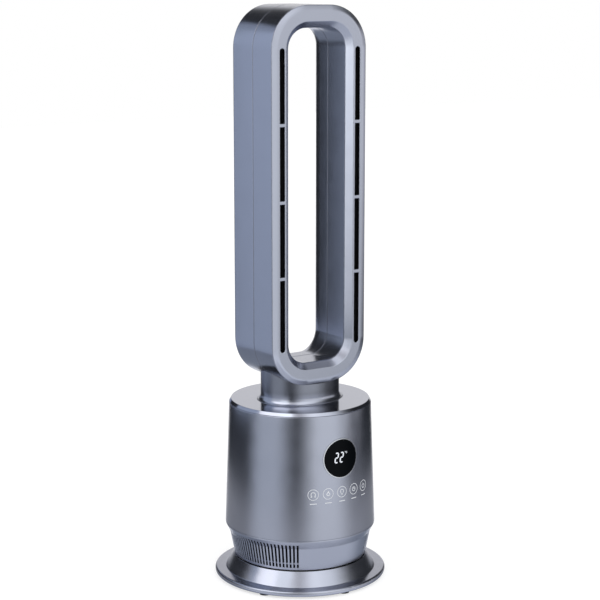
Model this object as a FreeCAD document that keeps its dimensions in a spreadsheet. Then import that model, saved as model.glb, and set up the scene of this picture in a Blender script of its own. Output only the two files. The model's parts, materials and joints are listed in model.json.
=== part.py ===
import FreeCAD, Part
import math
import os
import re
import Sketcher

# Bladeless fan heater: a tall slotted air loop on a short neck, above a round fan body that swings on a
# flared base. Millimetres, Z up, the front faces -Y, the origin is on the floor under the swivel axis.

# Driving sizes. Each is one cell of the sheet and can be changed by itself.
sizes = {
    # Clearances shared by the pieces that fit each other
    "seat_fit": 0.2,
    "running_fit": 0.08,
    "glide_gap": 0.3,
    "seam_gap": 0.4,
    # Base: flange, skirt, plate and feet
    "foot_height": 3.0,
    "foot_radius": 8.0,
    "foot_inset": 13.0,
    "foot_count": 6,
    "flange_radius": 125.0,
    "rim_height": 8.0,
    "rim_round": 3.2,
    "rim_lip": 5.0,
    "flange_step": 16.0,
    "skirt_lean": 11.4,
    "skirt_height": 20.5,
    "skirt_root_round": 1.6,
    "base_wall": 2.6,
    "plate_thickness": 2.4,
    "recess_draft": 3.0,
    "deck_drop": 11.5,
    "cavity_margin": 6.0,
    "ballast_inner_radius": 40.0,
    "ballast_margin": 3.0,
    "ballast_height": 9.0,
    "base_screw_radius": 1.6,
    "base_screw_head": 3.2,
    "base_screw_head_height": 1.2,
    "base_screw_reach": 2.5,
    "base_screw_inset": 9.5,
    "base_screw_count": 6,
    # Cord entry at the rear of the skirt
    "gland_radius": 4.6,
    "gland_bore_radius": 3.4,
    "gland_drop": 15.0,
    "gland_depth": 9.0,
    "gland_stand": 4.0,
    # Swivel: post, bearing, gear train
    "swivel_gap": 2.0,
    "post_radius": 16.0,
    "post_bore_radius": 12.0,
    "post_foot_radius": 26.0,
    "post_foot_height": 3.0,
    "bearing_inner_radius": 66.0,
    "bearing_width": 8.0,
    "gear_module": 1.5,
    "gear_teeth": 48,
    "gear_width": 7.0,
    "gear_backlash": 0.8,
    "pinion_teeth": 12,
    "pinion_lift": 1.0,
    "pinion_width": 8.0,
    "pinion_shaft_radius": 2.5,
    "turntable_thickness": 3.0,
    "hub_wall": 4.0,
    "hub_height": 11.0,
    "bush_wall": 2.5,
    "washer_overlap": 6.0,
    "washer_thickness": 2.0,
    "stepper_radius": 14.0,
    "stepper_height": 19.0,
    "stepper_ear_spread": 17.5,
    "stepper_ear_radius": 3.6,
    "stepper_ear_thickness": 1.2,
    "stepper_screw_radius": 1.4,
    "stepper_screw_head": 2.6,
    "tilt_switch_length": 20.0,
    "tilt_switch_width": 12.0,
    "tilt_switch_height": 14.0,
    "tilt_switch_reach": 52.0,
    "floor_screw_radius": 1.5,
    "floor_screw_head": 2.9,
    "floor_screw_count": 4,
    "floor_screw_inset": 7.0,
    # Intake grille ring
    "grille_height": 46.5,
    "tower_inset": 1.0,
    "grille_swell": 6.6,
    "grille_corner_height": 33.0,
    "grille_shoulder_height": 44.6,
    "grille_round": 4.0,
    "grille_wall": 2.4,
    "grille_ledge": 8.0,
    "slot_bottom": 3.4,
    "slot_top": 39.6,
    "slot_width": 2.7,
    "slot_count": 97,
    "front_plain_angle": 71.0,
    "hoop_height": 7.5,
    "hoop_width": 3.2,
    "hoop_thickness": 2.4,
    # Fan body
    "barrel_height": 178.6,
    "barrel_foot_radius": 109.4,
    "barrel_top_radius": 103.1,
    "barrel_wall": 2.5,
    "barrel_edge_round": 1.0,
    "cap_height": 5.0,
    "cap_chamfer": 2.8,
    "cap_wall": 2.6,
    "cap_spigot": 7.0,
    # Fan, motor and duct inside the body
    "duct_space": 18.25,
    "duct_wall": 2.0,
    "duct_floor": 2.4,
    "duct_flange_margin": 2.0,
    "duct_height": 110.0,
    "duct_throat_radius": 50.0,
    "duct_cone_height": 48.0,
    "bell_radius": 46.0,
    "impeller_gap": 8.0,
    "impeller_lift": 2.6,
    "impeller_height": 38.0,
    "impeller_plate": 2.0,
    "impeller_hub_radius": 12.0,
    "impeller_eye_radius": 44.0,
    "blade_root_radius": 46.0,
    "blade_thickness": 2.0,
    "blade_sweep": 38.0,
    "blade_bow_radius": 60.0,
    "blade_count": 11,
    "shaft_radius": 4.0,
    "shaft_stub": 6.0,
    "cup_lift": 8.0,
    "cup_radius": 37.0,
    "cup_wall": 2.2,
    "cup_height": 46.0,
    "vane_count": 9,
    "vane_thickness": 2.2,
    "cushion_wall": 2.0,
    "motor_height": 38.0,
    # Display, touch strip and control board
    "display_drop": 62.8,
    "display_radius": 27.2,
    "display_rim_width": 1.5,
    "display_rim_stand": 0.35,
    "lens_thickness": 2.0,
    "display_shell_wall": 2.2,
    "display_board_width": 54.0,
    "display_board_height": 52.0,
    "led_width": 34.0,
    "led_height": 22.0,
    "led_depth": 6.0,
    "board_thickness": 1.6,
    "display_depth": 13.3,
    "touch_drop": 111.5,
    "touch_width": 112.0,
    "touch_height": 24.0,
    "touch_thickness": 1.2,
    "control_board_width": 72.0,
    "control_board_height": 84.0,
    "control_board_drop": 150.0,
    "relay_width": 30.0,
    "relay_height": 20.0,
    "relay_depth": 9.0,
    # Neck
    "neck_height": 29.5,
    "neck_half_width": 60.0,
    "neck_half_depth": 49.5,
    "neck_wall": 3.0,
    "neck_flare": 5.5,
    "neck_flare_height": 9.0,
    # Air loop
    "loop_height": 532.5,
    "loop_half_width": 78.6,
    "loop_corner": 60.0,
    "loop_band": 31.2,
    "loop_wall": 2.4,
    "loop_rear_depth": 53.0,
    "loop_rear_round": 3.0,
    "loop_rear_rim": 7.2,
    "flare_start": 19.0,
    "seam_groove": 0.7,
    "shell_front_depth": 47.0,
    "web_depth": 40.0,
    "web_thickness": 2.0,
    "passage_half_width": 50.0,
    "passage_half_depth": 35.0,
    "passage_rise": 19.0,
    # Front bezel with the air outlets
    "bezel_front": 51.2,
    "bezel_bevel_width": 9.0,
    "bezel_bevel_depth": 9.4,
    "bezel_slope_width": 9.2,
    "bezel_slope_depth": 2.9,
    "bezel_wall": 2.4,
    "outlet_inset": 15.7,
    "outlet_width": 8.0,
    "outlet_length": 102.2,
    "outlet_bar": 4.5,
    "outlet_rise": 52.5,
    "window_width": 12.0,
    # Heaters behind the outlets
    "heater_width": 20.0,
    "heater_depth": 15.0,
    "heater_length": 380.0,
    "heater_core": 5.0,
    "fin_thickness": 1.0,
    "fin_pitch": 10.0,
    "cutout_radius": 7.0,
    "cutout_height": 6.0,
}

# Sizes that follow from the driving ones.
formulas = {
    "rim_top": "foot_height + rim_height",
    "skirt_top": "rim_top + skirt_height",
    "plate_radius": "flange_radius - rim_lip",
    "plate_top": "foot_height + plate_thickness",
    "skirt_foot_radius": "flange_radius - flange_step",
    "skirt_top_radius": "skirt_foot_radius - skirt_lean",
    "flange_under": "rim_top - base_wall",
    "lip_radius": "skirt_top_radius - base_wall",
    "recess_radius": "lip_radius - recess_draft",
    "ballast_radius": "recess_radius + ballast_margin",
    "deck_top": "skirt_top - deck_drop",
    "deck_under": "deck_top - base_wall",
    "foot_circle": "flange_radius - foot_inset",
    "base_screw_circle": "plate_radius - base_screw_inset",
    "gland_height": "skirt_top - gland_drop",
    "skirt_flare": "skirt_lean / skirt_height",
    "gland_skirt_radius": "skirt_top_radius + skirt_flare * gland_drop",
    "tower_bottom": "skirt_top + swivel_gap",
    "floor_top": "tower_bottom + turntable_thickness",
    "hub_top": "tower_bottom + hub_height",
    "bush_radius": "post_radius + bush_wall",
    "hub_radius": "bush_radius + hub_wall",
    "post_top": "hub_top + glide_gap",
    "turntable_radius": "grille_foot_radius - grille_wall - seat_fit",
    "gear_pitch_radius": "gear_module * gear_teeth / 2",
    "pinion_pitch_radius": "gear_module * pinion_teeth / 2",
    "gear_centre": "gear_pitch_radius + pinion_pitch_radius",
    "tooth_rise": "0.8 * gear_module",
    "tooth_drop": "1.3 * gear_module",
    "tooth_half": "(pi * gear_module / 2 - gear_backlash) / 2",
    "flank_slope": "tan(20)",
    "pinion_bottom": "deck_top + pinion_lift",
    "pinion_shaft_top": "floor_top + stepper_height / 2",
    "floor_screw_circle": "turntable_radius - floor_screw_inset",
    "grille_foot_radius": "skirt_top_radius - tower_inset",
    "grille_corner_radius": "grille_foot_radius + grille_swell",
    "grille_top": "tower_bottom + grille_height",
    "grille_rim_radius": "barrel_foot_radius - seat_fit",
    "slot_sweep": "360 - front_plain_angle",
    "slot_start": "front_plain_angle / 2 - 90",
    "slot_reach": "grille_foot_radius - grille_wall + seat_fit",
    "slot_far": "max(grille_rim_radius; grille_corner_radius) + grille_wall",
    "barrel_bottom": "grille_top + seam_gap",
    "barrel_top": "barrel_bottom + barrel_height",
    "cap_top": "barrel_top + cap_height",
    "cap_under": "cap_top - cap_wall",
    "cap_rim_radius": "barrel_top_radius - seat_fit",
    "cap_spigot_radius": "barrel_top_radius - barrel_wall - seat_fit",
    "cap_hole_radius": "duct_throat_radius + seat_fit",
    "duct_flange_radius": "barrel_foot_radius - barrel_wall - duct_flange_margin",
    "duct_bottom": "grille_top",
    "duct_floor_top": "duct_bottom + duct_floor",
    "duct_cone_bottom": "duct_bottom + duct_height",
    "duct_throat_bottom": "duct_cone_bottom + duct_cone_height",
    "duct_radius": "(barrel_foot_radius + barrel_top_radius) / 2 - duct_space",
    "duct_inner_radius": "duct_radius - duct_wall",
    "impeller_radius": "duct_inner_radius - impeller_gap",
    "impeller_bottom": "duct_floor_top + impeller_lift",
    "impeller_top": "impeller_bottom + impeller_height",
    "cup_bottom": "impeller_top + cup_lift",
    "cup_floor_top": "cup_bottom + cup_wall",
    "cup_inner_radius": "cup_radius - cup_wall",
    "vane_reach": "duct_inner_radius - seat_fit",
    "motor_bottom": "cup_floor_top + cushion_wall",
    "motor_radius": "cup_inner_radius - cushion_wall - seat_fit",
    "display_height": "barrel_top - display_drop",
    "display_hole_radius": "display_radius + display_rim_width + seat_fit",
    "barrel_slope": "(barrel_foot_radius - barrel_top_radius) / barrel_height",
    "display_face_radius": "barrel_top_radius + barrel_slope * display_drop",
    "display_board_back": "display_face_radius - display_depth",
    "front_reach": "max(barrel_foot_radius; barrel_top_radius) + 2 * barrel_wall",
    "touch_middle": "barrel_top - touch_drop",
    "touch_bottom": "touch_middle - touch_height / 2",
    "control_board_bottom": "barrel_top - control_board_drop",
    "control_board_front": "duct_radius + glide_gap",
    "loop_bottom": "cap_top + neck_height",
    "loop_top": "loop_bottom + loop_height",
    "loop_inner_bottom": "loop_bottom + loop_band",
    "flare_width": "loop_band - loop_rear_rim",
    "flare_run": "loop_rear_depth - flare_start",
    "flare_radius": "(flare_width ^ 2 + flare_run ^ 2) / (2 * flare_width)",
    "flare_hollow_radius": "flare_radius - loop_wall",
    "flare_hollow_rise": "flare_radius - loop_band + loop_wall",
    "flare_hollow_end": "flare_start + sqrt(flare_hollow_radius ^ 2 - flare_hollow_rise ^ 2)",
    "bezel_back": "bezel_front - bezel_wall",
    "bezel_edge": "shell_front_depth + seam_gap",
    "bezel_lip_end": "bezel_front - bezel_bevel_depth",
    "shell_lip_end": "bezel_lip_end - seam_gap",
    "bezel_lip_wall": "bezel_wall * 1.25",
    "outlet_across": "loop_half_width - outlet_inset",
    "outlet_bottom": "loop_bottom + outlet_rise",
    "outlet_span": "4 * outlet_length + 3 * outlet_bar",
    "outlet_top": "outlet_bottom + outlet_span",
    "heater_front": "web_depth - web_thickness - seat_fit",
    "heater_middle": "outlet_bottom + outlet_span / 2",
    "heater_bottom": "heater_middle - heater_length / 2",
}

doc = FreeCAD.newDocument("FanHeater")
sheet = doc.addObject("Spreadsheet::Sheet", "Dimensions")
bench = doc.addObject("Spreadsheet::Sheet", "Bench")
pieces = []


def fill_sheet():
    names = list(sizes) + list(formulas)
    for row, name in enumerate(names, start=1):
        sheet.set("A%d" % row, name)
        sheet.setAlias("B%d" % row, name)
    for row, name in enumerate(names, start=1):
        entry = str(sizes[name]) if name in sizes else "=" + formulas[name]
        sheet.set("B%d" % row, entry)
    doc.recompute()


def bound(text):
    """A formula of size names, written as an expression on the sheet."""
    def cell(match):
        word = match.group(0)
        known = word in sizes or word in formulas
        return "Dimensions." + word if known else word
    return re.sub(r"[A-Za-z_]\w*", cell, text)


def value(text):
    """The number that a formula of size names comes to."""
    bench.set("A1", "=" + bound(text))
    bench.recompute()
    return float(bench.get("A1"))


# Sketches and features


def new_body(label):
    body = doc.addObject("PartDesign::Body", label)
    body.Label = label
    return body


def origin_item(body, role):
    return next(item for item in body.Origin.OriginFeatures if item.Role == role)


def new_sketch(body, role, offset=None):
    sketch = body.newObject("Sketcher::SketchObject", body.Name + "_sketch")
    sketch.AttachmentSupport = (origin_item(body, role), [""])
    sketch.MapMode = "FlatFace"
    if offset:
        sketch.setExpression("AttachmentOffset.Base.z", bound(offset))
    return sketch


def hold(sketch, geometry, point, across, up):
    """Ties a point of the sketch to the sheet, measured from the sketch's origin."""
    for kind, text in (("DistanceX", across), ("DistanceY", up)):
        index = sketch.addConstraint(Sketcher.Constraint(kind, -1, 1, geometry, point, value(text)))
        sketch.setExpression("Constraints[%d]" % index, bound(text))


def arc_through(start, end, radius, side):
    """The short arc from start to end, bulging to the left of that line for side 1 and right for -1."""
    chord = end.sub(start)
    half = chord.Length / 2
    rise = radius - math.sqrt(radius ** 2 - half ** 2)
    left = FreeCAD.Vector(-chord.y, chord.x, 0).normalize()
    middle = start.add(chord.multiply(0.5)).add(left.multiply(rise * side))
    return Part.Arc(start, middle, end)


def draw(sketch, corners, arcs=None):
    """A closed outline. arcs maps a corner's number to the radius and side of the edge after it."""
    arcs = arcs or {}
    points = [FreeCAD.Vector(value(across), value(up), 0) for across, up in corners]
    base = sketch.GeometryCount
    ends = []
    for number, start in enumerate(points):
        end = points[(number + 1) % len(points)]
        if number in arcs:
            radius, side = arcs[number]
            edge = arc_through(start, end, value(radius), side)
        else:
            edge = Part.LineSegment(start, end)
        index = sketch.addGeometry(edge, False)
        forward = sketch.getPoint(index, 1).distanceToPoint(start) < 1e-6
        ends.append((1, 2) if forward else (2, 1))
    for number, (across, up) in enumerate(corners):
        after = (number + 1) % len(points)
        link = Sketcher.Constraint("Coincident", base + number, ends[number][1], base + after, ends[after][0])
        sketch.addConstraint(link)
        hold(sketch, base + number, ends[number][0], across, up)
        if number in arcs:
            index = sketch.addConstraint(Sketcher.Constraint("Radius", base + number, value(arcs[number][0])))
            sketch.setExpression("Constraints[%d]" % index, bound(arcs[number][0]))


def draw_circle(sketch, across, up, radius):
    centre = FreeCAD.Vector(value(across), value(up), 0)
    index = sketch.addGeometry(Part.Circle(centre, FreeCAD.Vector(0, 0, 1), value(radius)), False)
    hold(sketch, index, 3, across, up)
    size = sketch.addConstraint(Sketcher.Constraint("Radius", index, value(radius)))
    sketch.setExpression("Constraints[%d]" % size, bound(radius))


def box_corners(left, right, low, high):
    return [(left, low), (right, low), (right, high), (left, high)]


def feature(body, kind, sketch, length, backwards=False):
    """Pads or pockets a sketch, and checks that the solid grew or shrank."""
    doc.recompute()
    before = body.Shape.Volume if body.Tip else 0.0
    step = body.newObject("PartDesign::" + kind, body.Name + "_" + kind.lower())
    step.Profile = sketch
    step.Reversed = backwards
    step.setExpression("Length", bound(length))
    doc.recompute()
    change = body.Shape.Volume - before
    if change * (-1 if kind == "Pocket" else 1) < 1e-3:
        raise RuntimeError("%s of %s changes nothing" % (kind, body.Label))
    return step


def turned(label, corners, from_front=False):
    """A body turned about Z from an outline of radii and heights."""
    body = new_body(label)
    add_turned(body, corners, from_front)
    return body


def add_turned(body, corners, from_front=False):
    """from_front starts the turn at the front, so that the seam of the faces is in a plain area there."""
    sketch = new_sketch(body, "YZ_Plane" if from_front else "XZ_Plane")
    sign = "-" if from_front else ""
    draw(sketch, [("%s(%s)" % (sign, radius), height) for radius, height in corners])
    turn = body.newObject("PartDesign::Revolution", body.Name + "_turn")
    turn.Profile = sketch
    turn.ReferenceAxis = (sketch, ["V_Axis"])
    turn.Angle = 360
    doc.recompute()
    return turn


def around(body, originals, count, angle="360"):
    """Repeats features of a body round the Z axis."""
    pattern = body.newObject("PartDesign::PolarPattern", body.Name + "_ring")
    pattern.Originals = originals
    pattern.Axis = (origin_item(body, "Z_Axis"), [""])
    pattern.setExpression("Angle", bound(angle))
    pattern.setExpression("Occurrences", bound(count))
    body.Tip = pattern
    doc.recompute()
    return pattern


def soften(body, kind, size, spots):
    """Fillets or chamfers the circular edges at the given radii and heights."""
    wanted = [(value(radius), value(height)) for radius, height in spots]
    names = []
    solid = body.Tip
    for number, edge in enumerate(solid.Shape.Edges, start=1):
        if not isinstance(edge.Curve, Part.Circle):
            continue
        ring = (edge.Curve.Radius, edge.Curve.Center.z)
        if any(math.dist(ring, spot) < 0.01 for spot in wanted):
            names.append("Edge%d" % number)
    step = body.newObject("PartDesign::" + kind, body.Name + "_" + kind.lower())
    step.Base = (solid, names)
    step.setExpression("Radius" if kind == "Fillet" else "Size", bound(size))
    doc.recompute()


def primitive(kind, name, places, **lengths):
    """A Part primitive whose sizes and place are tied to the sheet."""
    item = doc.addObject("Part::" + kind, name)
    for key, text in lengths.items():
        item.setExpression(key, bound(text))
    for axis, text in places.items():
        item.setExpression("Placement.Base." + axis, bound(text))
    doc.recompute()
    return item


def joined(kind, label, base, tool):
    """Part::Cut or Part::Common of two objects."""
    item = doc.addObject("Part::" + kind, label)
    item.Label = label
    item.Base = base
    item.Tool = tool
    doc.recompute()
    return item


def keep(piece):
    pieces.append(piece)
    return piece


# Base, the part that stands still


def make_base_cover():
    """Flange and flared skirt in one moulding, with a recessed deck for the swivel."""
    body = turned("base_cover", [
        ("plate_radius + seat_fit", "foot_height"),
        ("flange_radius", "foot_height"),
        ("flange_radius", "rim_top"),
        ("skirt_foot_radius", "rim_top"),
        ("skirt_top_radius", "skirt_top"),
        ("lip_radius", "skirt_top"),
        ("recess_radius", "deck_top"),
        ("post_radius + seat_fit", "deck_top"),
        ("post_radius + seat_fit", "deck_under"),
        ("recess_radius + cavity_margin", "deck_under"),
        ("skirt_foot_radius - base_wall", "flange_under"),
        ("plate_radius + seat_fit", "flange_under"),
    ])
    rim = [("flange_radius", "foot_height"), ("flange_radius", "rim_top")]
    soften(body, "Fillet", "rim_round", rim)
    soften(body, "Fillet", "skirt_root_round", [("skirt_foot_radius", "rim_top")])
    boss = new_sketch(body, "XY_Plane", "plate_top")
    draw_circle(boss, "base_screw_circle", "0", "2 * base_screw_radius")
    draw_circle(boss, "base_screw_circle", "0", "base_screw_radius + running_fit")
    around(body, [feature(body, "Pad", boss, "flange_under - plate_top")], "base_screw_count")
    hole = new_sketch(body, "XZ_Plane")
    draw_circle(hole, "0", "gland_height", "gland_radius + seat_fit")
    feature(body, "Pocket", hole, "flange_radius")
    return keep(body)


def make_base_plate():
    body = turned("base_plate", box_corners("post_bore_radius", "plate_radius", "foot_height", "plate_top"))
    hole = new_sketch(body, "XY_Plane", "foot_height")
    draw_circle(hole, "base_screw_circle", "0", "base_screw_radius + running_fit")
    around(body, [feature(body, "Pocket", hole, "plate_thickness", True)], "base_screw_count")
    return keep(body)


def make_ballast_ring():
    return keep(turned("ballast_ring", box_corners(
        "ballast_inner_radius", "ballast_radius", "plate_top", "plate_top + ballast_height")))


def make_rubber_feet():
    body = new_body("rubber_feet")
    sketch = new_sketch(body, "XY_Plane")
    draw_circle(sketch, "0", "foot_circle", "foot_radius")
    around(body, [feature(body, "Pad", sketch, "foot_height")], "foot_count")
    return keep(body)


def make_base_screws():
    body = new_body("base_screws")
    head = new_sketch(body, "XY_Plane", "foot_height - base_screw_head_height")
    draw_circle(head, "base_screw_circle", "0", "base_screw_head")
    steps = [feature(body, "Pad", head, "base_screw_head_height")]
    shank = new_sketch(body, "XY_Plane", "foot_height")
    draw_circle(shank, "base_screw_circle", "0", "base_screw_radius")
    steps.append(feature(body, "Pad", shank, "plate_thickness + base_screw_reach"))
    around(body, steps, "base_screw_count")
    return keep(body)


def make_cord_gland():
    """Rubber bush for the supply cord, through the rear of the skirt."""
    body = new_body("cord_gland")
    start = "-(gland_skirt_radius - gland_depth)"
    sketch = new_sketch(body, "XZ_Plane", start)
    draw_circle(sketch, "0", "gland_height", "gland_radius")
    draw_circle(sketch, "0", "gland_height", "gland_bore_radius")
    feature(body, "Pad", sketch, "gland_depth + gland_stand", True)
    return keep(body)


def make_pivot_post():
    """Hollow post that the tower turns on. The wiring runs up its bore."""
    return keep(turned("pivot_post", [
        ("post_bore_radius", "plate_top"),
        ("post_foot_radius", "plate_top"),
        ("post_foot_radius", "plate_top + post_foot_height"),
        ("post_radius", "plate_top + post_foot_height"),
        ("post_radius", "post_top"),
        ("post_bore_radius", "post_top"),
    ]))


def make_retaining_washer():
    return keep(turned("retaining_washer", box_corners(
        "post_bore_radius", "post_radius + washer_overlap", "post_top", "post_top + washer_thickness")))


def make_swivel_bearing():
    """Acetal ring that carries the tower's weight under the turntable."""
    outer = "bearing_inner_radius + bearing_width"
    return keep(turned("swivel_bearing", box_corners(
        "bearing_inner_radius", outer, "deck_top", "tower_bottom - glide_gap")))


def toothed(body, pitch_radius, teeth, low, width, side):
    """Adds straight-flanked teeth round a blank. side is the direction of the first tooth along Y."""
    root = "(%s - tooth_drop)" % pitch_radius
    tip = "(%s + tooth_rise)" % pitch_radius
    wide = "(tooth_half + tooth_drop * flank_slope)"
    narrow = "(tooth_half - tooth_rise * flank_slope)"
    sunk = "(%s - gear_module / 2)" % root
    sketch = new_sketch(body, "XY_Plane", low)
    draw(sketch, [
        (wide, "%s * %s" % (side, sunk)),
        (wide, "%s * %s" % (side, root)),
        (narrow, "%s * %s" % (side, tip)),
        ("-" + narrow, "%s * %s" % (side, tip)),
        ("-" + wide, "%s * %s" % (side, root)),
        ("-" + wide, "%s * %s" % (side, sunk)),
    ])
    around(body, [feature(body, "Pad", sketch, width)], teeth)


def make_fixed_gear():
    """Gear fixed on the deck round the post. The stepper's pinion walks round it."""
    body = turned("fixed_gear", box_corners(
        "post_radius + seat_fit", "gear_pitch_radius - tooth_drop", "deck_top", "deck_top + gear_width"))
    toothed(body, "gear_pitch_radius", "gear_teeth", "deck_top", "gear_width", "1")
    return keep(body)


def make_oscillation_pinion():
    """Pinion with its shaft, turned half a tooth so that a gap faces the fixed gear."""
    body = turned("oscillation_pinion", [
        ("0", "pinion_bottom"),
        ("pinion_pitch_radius - tooth_drop", "pinion_bottom"),
        ("pinion_pitch_radius - tooth_drop", "pinion_bottom + pinion_width"),
        ("pinion_shaft_radius", "pinion_bottom + pinion_width"),
        ("pinion_shaft_radius", "pinion_shaft_top"),
        ("0", "pinion_shaft_top"),
    ])
    toothed(body, "pinion_pitch_radius", "pinion_teeth", "pinion_bottom", "pinion_width", "-1")
    body.Placement.Rotation = FreeCAD.Rotation(FreeCAD.Vector(0, 0, 1), value("180 / pinion_teeth"))
    body.setExpression("Placement.Rotation.Angle", bound("180 / pinion_teeth"))
    body.setExpression("Placement.Base.y", bound("gear_centre"))
    return keep(body)


# Lower tower: turntable, drive and intake


def make_turntable():
    body = turned("turntable", [
        ("bush_radius", "tower_bottom"),
        ("turntable_radius", "tower_bottom"),
        ("turntable_radius", "floor_top"),
        ("hub_radius", "floor_top"),
        ("hub_radius", "hub_top"),
        ("bush_radius", "hub_top"),
    ])
    hole = new_sketch(body, "XY_Plane", "tower_bottom")
    draw_circle(hole, "0", "gear_centre", "2 * pinion_shaft_radius")
    feature(body, "Pocket", hole, "turntable_thickness", True)
    screw = new_sketch(body, "XY_Plane", "tower_bottom")
    draw_circle(screw, "floor_screw_circle", "0", "floor_screw_radius + running_fit")
    around(body, [feature(body, "Pocket", screw, "turntable_thickness", True)], "floor_screw_count")
    return keep(body)


def make_swivel_bush():
    return keep(turned("swivel_bush", box_corners(
        "post_radius + running_fit", "bush_radius", "tower_bottom", "hub_top")))


def make_stepper_motor():
    """Oscillation stepper on the turntable, its output bore over the pinion's shaft."""
    body = new_body("stepper_motor")
    ear = new_sketch(body, "XY_Plane", "floor_top")
    reach = "stepper_ear_spread + stepper_ear_radius"
    draw(ear, box_corners("-(%s)" % reach, reach,
                          "gear_centre - stepper_ear_radius", "gear_centre + stepper_ear_radius"))
    feature(body, "Pad", ear, "stepper_ear_thickness")
    can = new_sketch(body, "XY_Plane", "floor_top")
    draw_circle(can, "0", "gear_centre", "stepper_radius")
    feature(body, "Pad", can, "stepper_height")
    bore = new_sketch(body, "XY_Plane", "floor_top")
    draw_circle(bore, "0", "gear_centre", "pinion_shaft_radius + running_fit")
    for side in ("-", ""):
        draw_circle(bore, side + "stepper_ear_spread", "gear_centre", "stepper_screw_radius + running_fit")
    feature(body, "Pocket", bore, "stepper_height / 2 + glide_gap", True)
    return keep(body)


def make_stepper_screws():
    body = new_body("stepper_screws")
    top = "floor_top + stepper_ear_thickness"
    shank = new_sketch(body, "XY_Plane", "floor_top")
    head = new_sketch(body, "XY_Plane", top)
    for side in ("-", ""):
        draw_circle(shank, side + "stepper_ear_spread", "gear_centre", "stepper_screw_radius")
        draw_circle(head, side + "stepper_ear_spread", "gear_centre", "stepper_screw_head")
    feature(body, "Pad", shank, "stepper_ear_thickness")
    feature(body, "Pad", head, "stepper_screw_radius")
    return keep(body)


def make_turntable_screws():
    body = new_body("turntable_screws")
    shank = new_sketch(body, "XY_Plane", "tower_bottom")
    draw_circle(shank, "floor_screw_circle", "0", "floor_screw_radius")
    steps = [feature(body, "Pad", shank, "turntable_thickness")]
    head = new_sketch(body, "XY_Plane", "floor_top")
    draw_circle(head, "floor_screw_circle", "0", "floor_screw_head")
    steps.append(feature(body, "Pad", head, "floor_screw_radius"))
    around(body, steps, "floor_screw_count")
    return keep(body)


def make_tilt_switch():
    """Sealed tip-over switch on the turntable. It cuts the heat when the tower falls."""
    body = new_body("tilt_switch")
    sketch = new_sketch(body, "XY_Plane", "floor_top")
    draw(sketch, box_corners("-tilt_switch_reach - tilt_switch_length / 2",
                             "-tilt_switch_reach + tilt_switch_length / 2",
                             "-tilt_switch_width / 2", "tilt_switch_width / 2"))
    feature(body, "Pad", sketch, "tilt_switch_height")
    return keep(body)


def make_intake_grille():
    """Tapered ring with upright slots all round but for a plain front, and a hoop behind the slots."""
    body = turned("intake_grille", [
        ("grille_foot_radius - grille_wall", "tower_bottom"),
        ("grille_foot_radius", "tower_bottom"),
        ("grille_corner_radius", "tower_bottom + grille_corner_height"),
        ("grille_rim_radius", "tower_bottom + grille_shoulder_height"),
        ("grille_rim_radius", "grille_top"),
        ("grille_rim_radius - grille_wall - grille_ledge", "grille_top"),
        ("grille_rim_radius - grille_wall - grille_ledge", "grille_top - grille_wall"),
        ("grille_rim_radius - grille_wall", "grille_top - grille_wall"),
        ("grille_corner_radius - grille_wall", "tower_bottom + grille_corner_height"),
    ], from_front=True)
    corner = ("grille_corner_radius", "tower_bottom + grille_corner_height")
    soften(body, "Fillet", "grille_round", [corner])
    low = "tower_bottom + hoop_height"
    high = low + " + hoop_thickness"
    hoop = box_corners("slot_reach - hoop_width", "slot_reach + hoop_width / 2", low, high)
    add_turned(body, hoop, from_front=True)
    slot = new_sketch(body, "XY_Plane", "tower_bottom + slot_bottom")
    corners = []
    for reach, side in (("slot_reach", 1), ("slot_far", 1), ("slot_far", -1), ("slot_reach", -1)):
        aside = "%d * slot_width / 2" % side
        corners.append(("%s * cos(slot_start) + %s * sin(slot_start)" % (reach, aside),
                        "%s * sin(slot_start) - %s * cos(slot_start)" % (reach, aside)))
    draw(slot, corners)
    cut = feature(body, "Pocket", slot, "slot_top - slot_bottom", True)
    around(body, [cut], "slot_count", "slot_sweep")
    return keep(body)


# Fan body: barrel, cap, duct and fan


def make_barrel():
    body = turned("barrel", [
        ("barrel_foot_radius - barrel_wall", "barrel_bottom"),
        ("barrel_foot_radius", "barrel_bottom"),
        ("barrel_top_radius", "barrel_top"),
        ("barrel_top_radius - barrel_wall", "barrel_top"),
    ])
    soften(body, "Fillet", "barrel_edge_round", [("barrel_top_radius", "barrel_top")])
    hole = new_sketch(body, "XZ_Plane")
    draw_circle(hole, "0", "display_height", "display_hole_radius")
    feature(body, "Pocket", hole, "front_reach", True)
    return keep(body)


def make_top_cap():
    body = turned("top_cap", [
        ("cap_hole_radius", "cap_under"),
        ("cap_spigot_radius - cap_wall", "cap_under"),
        ("cap_spigot_radius - cap_wall", "barrel_top - cap_spigot"),
        ("cap_spigot_radius", "barrel_top - cap_spigot"),
        ("cap_spigot_radius", "barrel_top + seam_gap"),
        ("cap_rim_radius", "barrel_top + seam_gap"),
        ("cap_rim_radius - cap_chamfer", "cap_top"),
        ("cap_hole_radius", "cap_top"),
    ])
    return keep(body)


def make_fan_duct():
    """Floor with the inlet, fan chamber, and the cone that gathers the air into the neck."""
    return keep(turned("fan_duct", [
        ("bell_radius", "duct_bottom"),
        ("duct_flange_radius", "duct_bottom"),
        ("duct_flange_radius", "duct_floor_top"),
        ("duct_radius", "duct_floor_top"),
        ("duct_radius", "duct_cone_bottom"),
        ("duct_throat_radius", "duct_throat_bottom"),
        ("duct_throat_radius", "cap_top"),
        ("duct_throat_radius - duct_wall", "cap_top"),
        ("duct_throat_radius - duct_wall", "duct_throat_bottom"),
        ("duct_inner_radius", "duct_cone_bottom"),
        ("duct_inner_radius", "duct_floor_top"),
        ("bell_radius", "duct_floor_top"),
    ]))


def make_duct_seal():
    inner = "duct_throat_radius + running_fit"
    return keep(turned("duct_seal", box_corners(
        inner, "duct_throat_radius + 2 * cap_wall", "cap_under - 2 * cap_wall", "cap_under")))


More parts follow.
